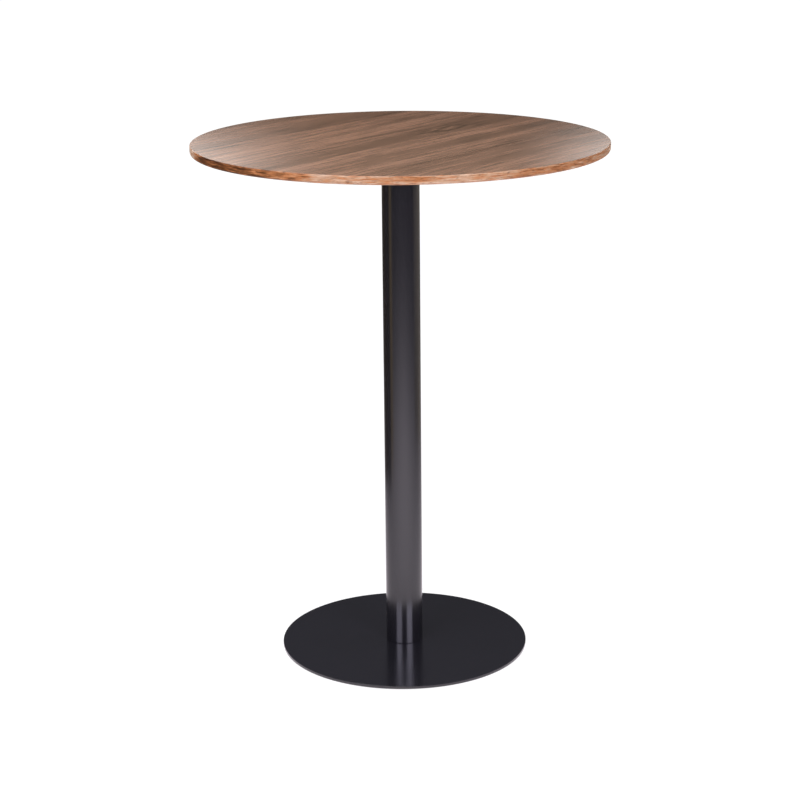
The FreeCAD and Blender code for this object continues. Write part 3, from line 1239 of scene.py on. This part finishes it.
    def fasteners(self, name: str, outline: Outline, chance_turn: float = 0.0) -> Object:
        """Sets copies of a turned fastener at every screw's place.

        Args:
            name: Name of the piece that they make up.
            outline: Half of the section of one.
            chance_turn: The most by which each is turned.

        Returns:
            The piece.
        """
        piece = turned(name, outline, ZINC, self.segments)
        return ringed(piece, ZINC, self.arms, self.screw_circle, self.seed, self.screws_per_arm,
                      self.circle_step, chance_turn=chance_turn)

    def build(self) -> None:
        """Builds and dresses the spider and its fasteners."""
        self.show(self.plate(), BLACK_COAT, "mounting_spider")
        screws = self.fasteners("button_screws", self.screw_outline(), FULL_TURN / HEXAGON_SIDES)
        self.show(screws, ZINC, "spider_screws")
        self.show(self.fasteners("flat_washers", self.washer_outline()), ZINC, "spider_washers")
        self.show(self.fasteners("sleeve_nuts", self.nut_outline()), ZINC, "threaded_inserts")


@dataclass
class Base(SubAssembly):
    """The steel disc that the table stands on, its countersunk screws and its rubber feet."""

    radius: float
    bottom: float
    top: float
    screw_top: float
    screw_circle: float
    foot_radius: float
    foot_circle: float
    ease: float = 0.8 * MM
    ease_steps: int = 6
    hold: float = 1.0 * MM
    segments: int = 320
    screw_count: int = 4
    screw_radius: float = 4.0 * MM
    screw_head_radius: float = 7.75 * MM
    seat_clearance: float = 0.1 * MM
    hole_clearance: float = 0.5 * MM
    socket_radius: float = 2.5 * MM
    socket_depth: float = 2.7 * MM
    screw_segments: int = 48
    foot_count: int = 6
    foot_ease: float = 0.8 * MM
    foot_ease_steps: int = 5
    foot_grooves: int = 3
    foot_groove_depth: float = 0.6 * MM
    foot_segments: int = 64
    seed: int = 11

    @classmethod
    def from_frame(cls) -> "Base":
        """Takes the base's sizes from the frame.

        Returns:
            The base.
        """
        low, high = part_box("base_plate")
        _, screw_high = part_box("base_screws")
        foot_low, foot_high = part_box("rubber_foot_2")
        return cls(radius=high.x, bottom=low.z, top=high.z, screw_top=screw_high.z,
                   screw_circle=screw_high.x - cls.screw_head_radius,
                   foot_radius=(foot_high.y - foot_low.y) / 2, foot_circle=(foot_high.y + foot_low.y) / 2)

    def screw_outline(self) -> Outline:
        """Half a countersunk screw.

        Returns:
            Its socket, head and shank, about the screw's own axis.
        """
        head, shank, low = self.screw_head_radius, self.screw_radius, self.bottom
        outline = Outline().to((0.0, low + self.socket_depth))
        outline.to((self.socket_radius, low + self.socket_depth), (self.socket_radius, low), hexagon=1.0)
        outline.to((head, low), (shank, low + head - shank))
        return outline.to((shank, self.screw_top), (0.0, self.screw_top))

    def hole_outline(self) -> Outline:
        """Half of the hole that a countersunk screw fits in.

        Returns:
            The hole with its clearances, drawn past the underside of the disc.
        """
        head, shank = self.screw_head_radius + self.seat_clearance, self.screw_radius + self.hole_clearance
        low = self.bottom
        outline = Outline().to((0.0, low - self.ease), (head + self.ease, low - self.ease))
        return outline.to((shank, low + head - shank), (shank, self.screw_top), (0.0, self.screw_top))

    def disc(self) -> Object:
        """Turns the disc, with eased edges, and countersinks it from below.

        Returns:
            The disc.
        """
        ease, hold, out = self.ease, self.hold, self.radius
        outline = Outline().to((0.0, self.bottom), (out - ease - hold, self.bottom))
        outline.to(*arc((out - ease, self.bottom + ease), ease, -90, 0, self.ease_steps))
        outline.to(*arc((out - ease, self.top - ease), ease, 0, 90, self.ease_steps))
        outline.to((out - ease - hold, self.top), (0.0, self.top))
        disc = turned("base_disc", outline, BLACK_COAT, self.segments)
        settle(disc)
        holes = turned("base_holes", self.hole_outline(), BLACK_COAT, self.screw_segments)
        settle(ringed(holes, BLACK_COAT, self.screw_count, self.screw_circle, self.seed))
        cut = disc.modifiers.new("countersinks", "BOOLEAN")
        cut.operation = "DIFFERENCE"
        cut.solver = "EXACT"
        cut.object = holes
        settle(disc)
        bpy.data.objects.remove(holes)
        return disc

    def screws(self) -> Object:
        """Sets the countersunk screws in their ring, each with its socket turned by chance.

        Returns:
            The screws.
        """
        piece = turned("countersunk_screws", self.screw_outline(), ZINC, self.screw_segments)
        return ringed(piece, ZINC, self.screw_count, self.screw_circle, self.seed,
                      chance_turn=FULL_TURN / HEXAGON_SIDES)

    def feet(self) -> Object:
        """Sets the moulded feet in their ring, with grip grooves on their undersides.

        Returns:
            The feet.
        """
        radius, ease, depth = self.foot_radius, self.foot_ease, self.foot_groove_depth
        outline = Outline().to((0.0, 0.0))
        pitch = (radius - ease) / (self.foot_grooves + 1)
        quarter = pitch / 4
        for k in range(1, self.foot_grooves + 1):
            middle = pitch * k
            outline.to((middle - quarter, 0.0), (middle - quarter / 2, depth))
            outline.to((middle + quarter / 2, depth), (middle + quarter, 0.0))
        outline.to(*arc((radius - ease, ease), ease, -90, 0, self.foot_ease_steps))
        outline.to(*arc((radius - ease, self.bottom - ease), ease, 0, 90, self.foot_ease_steps))
        piece = turned("rubber_feet", outline.to((0.0, self.bottom)), RUBBER, self.foot_segments)
        return ringed(piece, RUBBER, self.foot_count, self.foot_circle, self.seed,
                      first=FULL_TURN / self.foot_count / 2)

    def build(self) -> None:
        """Builds and dresses the base."""
        self.show(self.disc(), BLACK_COAT, "base_plate")
        self.show(self.screws(), ZINC, "base_screws")
        self.show(self.feet(), RUBBER, *(f"rubber_foot_{k}" for k in range(1, self.foot_count + 1)))


class Role(Enum):
    """What a lamp is for: to light things and be mirrored in them, or only to light them."""

    BOTH = "both"
    FILL = "fill"


class Side(Enum):
    """Which side of the table a panel stands on, with its sign along X."""

    LEFT = -1.0
    RIGHT = 1.0


@dataclass(frozen=True)
class Softbox:
    """A soft studio lamp: where it stands, what it points at, how large it is, how strong and what for."""

    name: str
    place: Place
    aim: Place
    width: float
    height: float
    watts: float
    role: Role = Role.BOTH

    def build(self) -> None:
        """Hangs the lamp, unseen by the camera itself."""
        light = bpy.data.lights.new(self.name, "AREA")
        light.shape = "RECTANGLE"
        light.size = self.width
        light.size_y = self.height
        light.energy = self.watts
        light.cycles.use_multiple_importance_sampling = self.role is Role.BOTH
        lamp = placed(self.name, light)
        lamp.location = self.place
        lamp.rotation_mode = "QUATERNION"
        lamp.rotation_quaternion = (Vector(self.aim) - Vector(self.place)).to_track_quat("-Z", "Y")
        lamp.visible_camera = False
        lamp.visible_glossy = self.role is Role.BOTH


@dataclass(frozen=True)
class Sheet:
    """A plain sheet in the studio that glows though it is no lamp and only reflections see: a painted
    reflection.
    """

    name: str
    colour: str

    def outline(self) -> Corners:
        """Points and faces of the sheet; each kind of sheet has its own."""
        raise NotImplementedError

    def strength(self, tree: NodeTree) -> NodeSocket | float:
        """How strongly the sheet glows, unless its kind says otherwise."""
        return 1.0

    def build(self) -> None:
        """Sets the sheet up, unseen by the camera, by diffuse light and by shadows."""
        points, faces = self.outline()
        mesh = bpy.data.meshes.new(self.name)
        mesh.from_pydata(points, [], faces)
        sheet = placed(self.name, mesh)
        material = bare_material(f"{self.name}_cloth")
        tree = material.node_tree
        glow = add_node(tree, EMISSION, {"Color": linear(self.colour), "Strength": self.strength(tree)})
        add_node(tree, SURFACE, {"Surface": glow})
        mesh.materials.append(material)
        sheet.visible_camera = sheet.visible_diffuse = sheet.visible_shadow = False


@dataclass(frozen=True)
class Card(Sheet):
    """A glowing card on the floor that only reflections see: a wedge about the table, between two turns.

    Turns are in degrees, from the camera's side round to the right.
    """

    from_turn: float
    to_turn: float
    near: float
    far: float = 12.0
    rise: float = 1.0 * MM
    steps: int = 8

    def outline(self) -> Corners:
        """Draws the wedge from its first turn to its last.

        Returns:
            Its points and faces.
        """
        spread = (self.to_turn - self.from_turn) / self.steps
        turns = [math.radians(self.from_turn + spread * k) for k in range(self.steps + 1)]
        points = [(out * math.sin(turn), -out * math.cos(turn), self.rise) for turn in turns
                  for out in (self.near, self.far)]
        return points, [(2 * k, 2 * k + 1, 2 * k + 3, 2 * k + 2) for k in range(self.steps)]


@dataclass(frozen=True)
class SheenPanel(Sheet):
    """An upright panel behind the table, which glows more the further out it is, and whitens the top."""

    side: Side
    inner: float
    growth: float
    base_glow: float = 0.19
    brightest: float = 0.53
    outer: float = 0.68
    back: float = 0.9
    bottom: float = 1.24
    full: float = 1.32
    top: float = 1.7

    def outline(self) -> Corners:
        """Draws the panel, upright from the middle outward.

        Returns:
            Its corners and its one face.
        """
        outer, back = self.side.value * self.outer, self.back
        points = [(0, back, self.bottom), (outer, back, self.bottom), (outer, back, self.top),
                  (0, back, self.top)]
        return points, [(0, 1, 2, 3)]

    def strength(self, tree: NodeTree) -> NodeSocket | float:
        """A glow that grows as the square of the way beyond the inner line, and fades to the far edges.

        Args:
            tree: The tree of the panel's material.

        Returns:
            The strength.
        """
        place = add_node(tree, COORDINATES, out="Object")
        sideways, _, height = add_node(tree, SPLIT, (place,)).node.outputs
        outward = add_node(tree, MATH, (sideways, self.side.value), operation="MULTIPLY")
        beyond = add_node(tree, MATH, (outward, self.inner), operation="SUBTRACT")
        off_edge = add_node(tree, MATH, (beyond, 0.0), operation="MAXIMUM")
        square = add_node(tree, MATH, (off_edge, off_edge), operation="MULTIPLY")
        glow = add_node(tree, MATH, (square, self.growth, self.base_glow), operation="MULTIPLY_ADD")
        for distance, edge, full in ((outward, self.outer, self.brightest), (height, self.top, self.full)):
            fade = add_node(tree, RANGE, (distance, edge, full), interpolation_type="SMOOTHSTEP")
            glow = add_node(tree, MATH, (glow, fade), operation="MULTIPLY")
        return glow


@dataclass(frozen=True)
class Strip(Sheet):
    """A bright strip high in front, seen only where the column mirrors what the base disc mirrors."""

    place: Place
    aim: Place
    width: float
    height: float
    glow: float
    least_depth: float = 1.5

    def outline(self) -> Corners:
        """Draws the strip square to its aim.

        Returns:
            Its corners and its one face.
        """
        middle = Vector(self.place)
        turn = (Vector(self.aim) - middle).to_track_quat("-Z", "Y")
        half_width, half_height = self.width / 2, self.height / 2
        corners = [Vector((x * half_width, y * half_height, 0))
                   for x, y in ((-1, -1), (1, -1), (1, 1), (-1, 1))]
        return [tuple(middle + turn @ corner) for corner in corners], [(0, 1, 2, 3)]

    def strength(self, tree: NodeTree) -> NodeSocket | float:
        """The strip's glow, from the second surface that a ray meets.

        Args:
            tree: The tree of the strip's material.

        Returns:
            The strength.
        """
        depth = add_node(tree, LIGHT_PATH, out="Ray Depth")
        later = add_node(tree, MATH, (depth, self.least_depth), operation="GREATER_THAN")
        return add_node(tree, MATH, (later, self.glow), operation="MULTIPLY")


@dataclass
class Studio:
    """The pale floor, the lamps, the sheets that reflections see, and the camera."""

    floor_radius: float = 60.0
    floor_segments: int = 96
    floor_colour: str = "#F2F2F2"
    floor_shade: str = "#8A8A8A"
    near_glow: float = 0.88
    far_glow: float = 1.0
    glow_reach: Point = (1.2, 4.0)
    # A painted pool of light on the floor, which only reflections see
    pool_place: Place = (0.1, -1.0, 0.0)
    pool_reach: float = 1.4
    pool_fall: float = 2.5
    pool_glow: float = 2.3
    pool_colour: str = "#FFF5FE"
    sky_levels: Stops = ((0.50, "#28282B"), (0.62, "#36363B"), (0.69, "#6A6970"), (1.0, "#7C7C86"))
    # Painted reflections: sheets that glow though they are no lamps and that only reflections see. The dark
    # card
    # darkens reflections on the left, the panels paint a sheen on the ends of the top, and the strips paint
    # the bright streaks that the column mirrors from the base disc.
    sheets: tuple[Sheet, ...] = (
        Card("card_left", "#564A3A", -145, -77, 1.05),
        Card("card_warm", "#F4D49E", -77, -60, 1.25),
        Card("card_right", "#BEB2A6", 82, 145, 1.45),
        Card("card_back", "#F4E8D8", 145, 215, 5.5),
        SheenPanel("panel_left", "#FFFCFA", Side.LEFT, 0.13, 19.0),
        SheenPanel("panel_right", "#FFFCFA", Side.RIGHT, 0.25, 43.0),
        Strip("strip_left", "#EBE6FF", (-3.27, -5.03, 2.49), (0, 0, 0.5), 3.6, 0.84, 30.0),
        Strip("strip_right", "#EBE6FF", (3.27, -5.03, 2.49), (0, 0, 0.5), 3.6, 0.84, 36.0),
    )
    softboxes: tuple[Softbox, ...] = (
        Softbox("softbox_above", (-0.7, -1.0, 3.1), (0, 0, 0), 2.2, 2.2, 89),
        Softbox("fill_front_right", (1.66, -2.56, 1.35), (0, 0, 0.9), 0.95, 0.8, 63, Role.FILL),
        Softbox("fill_front_left", (-1.66, -2.56, 1.35), (0, 0, 0.9), 0.95, 0.8, 37, Role.FILL),
        Softbox("fill_left", (-2.8, 0.6, 1.1), (0, 0, 1.0), 1.2, 1.2, 20, Role.FILL),
        Softbox("fill_right", (2.8, 0.6, 1.1), (0, 0, 1.0), 1.2, 1.2, 16, Role.FILL),
    )
    camera_place: Place = (0.0, -3.929, 1.652)
    camera_pitch: float = math.radians(16.090)
    camera_yaw: float = math.radians(-0.072)
    camera_roll: float = math.radians(-0.536)
    focal_pixels: float = 2044.8

    def floor(self) -> None:
        """Lays a pale floor: white to the eye, with the table's shadow, and a painted pool of light in
        reflections.
        """
        shell = bmesh.new()
        bmesh.ops.create_circle(shell, cap_ends=True, segments=self.floor_segments, radius=self.floor_radius)
        mesh = bpy.data.meshes.new("studio_floor")
        shell.to_mesh(mesh)
        shell.free()
        floor = placed("studio_floor", mesh)
        material = bare_material("paper_white_matt")
        tree = material.node_tree
        path = add_node(tree, LIGHT_PATH).node.outputs
        mirrored = add_node(tree, MATH, (path["Is Glossy Ray"], path["Is Transmission Ray"]),
                            operation="MAXIMUM")
        seen = add_node(tree, MATH, (path["Is Camera Ray"], mirrored), operation="MAXIMUM")
        place = add_node(tree, COORDINATES, out="Object")
        away = add_node(tree, VECTOR, (place,), out="Value", operation="LENGTH")
        glow = add_node(tree, RANGE, (away, *self.glow_reach, self.near_glow, self.far_glow))
        # Painted light: a glowing pool in front of the table that only reflections see, falling off all round
        off_pool = add_node(tree, VECTOR, (place, self.pool_place), out="Value", operation="DISTANCE")
        share = add_node(tree, MATH, (off_pool, self.pool_reach), operation="DIVIDE")
        steep = add_node(tree, MATH, (share, self.pool_fall), operation="POWER")
        fall = add_node(tree, MATH, (steep, 1.0), operation="ADD")
        pool = add_node(tree, MATH, (self.pool_glow, fall), operation="DIVIDE")
        plain = add_node(tree, MATH, (path["Is Camera Ray"], glow), operation="MULTIPLY")
        strength = add_node(tree, MATH, (mirrored, pool, plain), operation="MULTIPLY_ADD")
        tint = add_node(tree, MIX, {
            "Factor": mirrored, COLOUR_A: linear(WHITE), COLOUR_B: linear(self.pool_colour)},
            out=COLOUR_MIX, data_type="RGBA")
        light = add_node(tree, EMISSION, {"Color": tint, "Strength": strength})
        colour = add_node(tree, MIX, {
            "Factor": seen, COLOUR_A: linear(self.floor_colour), COLOUR_B: linear(self.floor_shade)},
            out=COLOUR_MIX, data_type="RGBA")
        unlit = add_node(tree, MIX, {"Factor": mirrored, COLOUR_A: colour, COLOUR_B: linear(BLACK)},
                         out=COLOUR_MIX, data_type="RGBA")
        paper = add_node(tree, "ShaderNodeBsdfDiffuse", {"Color": unlit})
        white = add_node(tree, "ShaderNodeAddShader", (light, paper))
        add_node(tree, SURFACE, {"Surface": white})
        mesh.materials.append(material)

    def world(self) -> None:
        """Sets a world that is white to the eye, and in reflections a dim grey, darker low down."""
        world = bpy.data.worlds.new("studio")
        world.use_nodes = True
        tree = world.node_tree
        direction = add_node(tree, COORDINATES, out="Generated")
        rise = add_node(tree, SPLIT, (direction,), out="Z")
        share = add_node(tree, MATH, (rise, 0.5, 0.5), operation="MULTIPLY_ADD")
        level = add_node(tree, RAMP, (share,), stops=self.sky_levels)
        seen = add_node(tree, LIGHT_PATH, out="Is Camera Ray")
        shown = add_node(tree, MIX, {"Factor": seen, COLOUR_A: level, COLOUR_B: linear(WHITE)},
                         out=COLOUR_MIX, data_type="RGBA")
        tree.links.new(shown, tree.nodes["Background"].inputs["Color"])
        bpy.context.scene.world = world

    def camera(self) -> None:
        """Sets the camera at the photograph's place and angle."""
        pitch, yaw, roll = self.camera_pitch, self.camera_yaw, self.camera_roll
        ahead = Vector((math.sin(yaw) * math.cos(pitch), math.cos(yaw) * math.cos(pitch), -math.sin(pitch)))
        level = Vector((math.cos(yaw), -math.sin(yaw), 0.0))
        above = level.cross(ahead)
        right = math.cos(roll) * level + math.sin(roll) * above
        up = -math.sin(roll) * level + math.cos(roll) * above
        turn = Matrix((right, up, -ahead)).transposed().to_4x4()
        data = bpy.data.cameras.new("camera")
        data.lens = self.focal_pixels * data.sensor_width / IMAGE_SIDE
        camera = placed("camera", data)
        camera.matrix_world = Matrix.Translation(self.camera_place) @ turn
        bpy.context.scene.camera = camera

    def build(self) -> None:
        """Builds the stage and sets how colours are shown."""
        self.floor()
        self.world()
        for prop in (*self.sheets, *self.softboxes):
            prop.build()
        self.camera()
        bpy.context.scene.view_settings.view_transform = "Standard"


def main() -> None:
    """Builds the table's sub-assemblies from the floor up, then the studio round them."""
    logging.basicConfig(level=logging.INFO, format="%(name)s: %(message)s")
    for part in (Base.from_frame(), Column.from_frame(), Spider.from_frame(), Tabletop.from_frame()):
        part.build()
    Studio().build()


if __name__ == "__main__":
    main()
